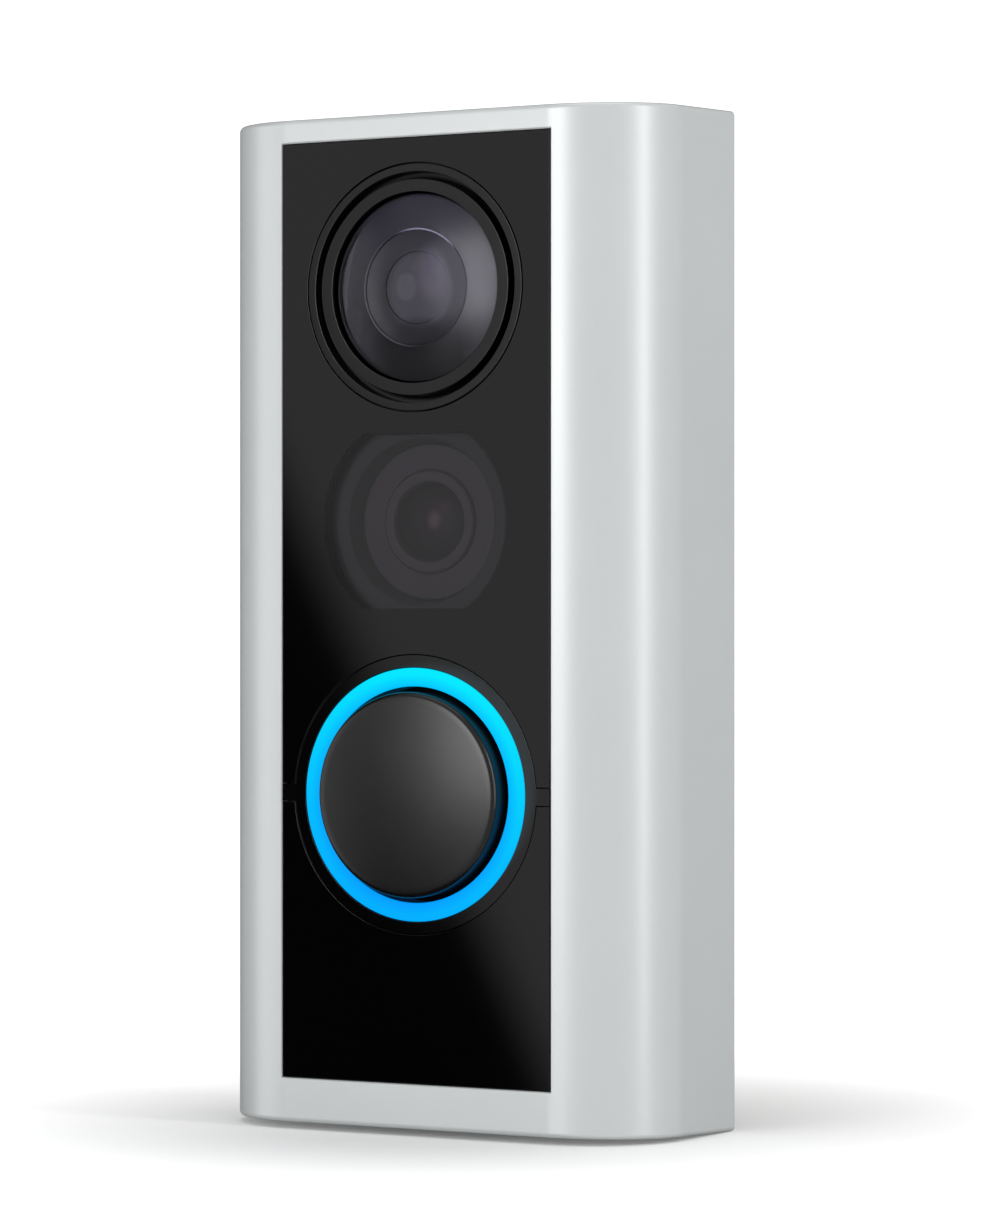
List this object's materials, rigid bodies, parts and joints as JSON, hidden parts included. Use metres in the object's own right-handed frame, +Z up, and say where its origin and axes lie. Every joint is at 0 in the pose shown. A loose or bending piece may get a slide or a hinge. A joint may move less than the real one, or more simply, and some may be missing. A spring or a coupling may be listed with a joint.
{
  "type": "video doorbell",
  "caption": "Slim door-viewer doorbell: satin shell, black face, wide viewer lens, camera, lit push button and a threaded tube through the door.",
  "frame": {"origin": "viewer tube's axis in the plane of the door's outer face, at the back of the pad and seal", "axes": "+X to the right of someone facing the unit, +Y into the door along the tube, +Z up"},
  "size_m": [0.049, 0.0527, 0.0986],
  "materials": {
    "silver_shell": "satin silver paint, fine grain",
    "panel_black": "polished black",
    "surround_black": "polished black",
    "button_black": "fine matte grain",
    "light_pipe": "lit from behind, blue",
    "trim_black": "black anodised",
    "lens_glass": "coated",
    "camera_black": "matte",
    "camera_ring": "matte",
    "clear_plastic": "frosted clear plastic",
    "frame_plastic": "moulded",
    "back_plastic": "moulded, fine spark texture",
    "tube_metal": "turned, clear anodised",
    "screw_steel": "zinc plated",
    "foam": "closed-cell foam",
    "rubber_black": "soft",
    "adhesive": "foam tape with a white liner",
    "board_mask": "solder mask",
    "chip_black": "moulded package",
    "led_white": "LED package",
    "tin_plate": "tin-plated sheet",
    "cable_amber": "polyimide film",
    "socket_ivory": "moulded",
    "sensor_glass": "coated silicon window",
    "milky_plastic": "polyethylene",
    "cone_paper": "pressed film"
  },
  "bodies": {
    "housing": {"adhesive_pad": "adhesive", "back_plate": "back_plastic", "board_chips": "chip_black", "board_screws": "screw_steel", "button_dome": "rubber_black", "button_surround": "surround_black", "cable_connector": "socket_ivory", "cable_socket": "socket_ivory", "camera_front_lens": "lens_glass", "camera_holder": "camera_black", "camera_lens_barrel": "camera_ring", "camera_rear_lens": "lens_glass", "camera_shroud": "camera_black", "case_screws": "screw_steel", "door_tube": "tube_metal", "face_gasket": "foam", "flange_screws": "screw_steel", "front_lens": "lens_glass", "front_shell": "silver_shell", "image_sensor": "chip_black", "infrared_leds": "led_white", "infrared_light_pipe": "clear_plastic", "inner_chassis": "frame_plastic", "knock_sensor": "chip_black", "lens_barrel": "trim_black", "lens_retainer_ring": "trim_black", "lens_seal_ring": "rubber_black", "lens_spacer_front": "trim_black", "lens_spacer_rear": "trim_black", "lens_trim_ring": "trim_black", "light_ring": "light_pipe", "lower_face_panel": "panel_black", "main_board": "board_mask", "microphone": "tin_plate", "microphone_boot": "rubber_black", "motion_lens": "milky_plastic", "motion_sensor_can": "tin_plate", "motion_sensor_filter": "sensor_glass", "motion_sensor_header": "chip_black", "processor_chip": "chip_black", "rim_seal": "rubber_black", "ring_leds": "led_white", "second_lens": "lens_glass", "shield_can": "tin_plate", "speaker_basket": "frame_plastic", "speaker_cone": "cone_paper", "speaker_enclosure": "frame_plastic", "speaker_gasket": "foam", "speaker_magnet": "screw_steel", "switch_body": "chip_black", "third_lens": "lens_glass", "tube_cable": "cable_amber", "tube_seal": "foam", "upper_face_panel": "panel_black"},
    "button": {"button_cap": "button_black"},
    "switch_plunger": {"switch_plunger": "camera_ring"}
  },
  "joints": [
    {"name": "button_press", "type": "slide", "parent": "housing", "child": "button", "axis": [0, 1, 0], "range_m": [0, 0.0006], "stiffness_N_per_m": 1200, "springref_m": -0.0006, "deforming": ["button_dome"]},
    {"name": "plunger_press", "type": "slide", "parent": "housing", "child": "switch_plunger", "axis": [0, 1, 0], "range_m": [0, 0.0003]}
  ],
  "couplings": [
    {"joint": "plunger_press", "follows": "button_press", "ratio": 0.5}
  ]
}
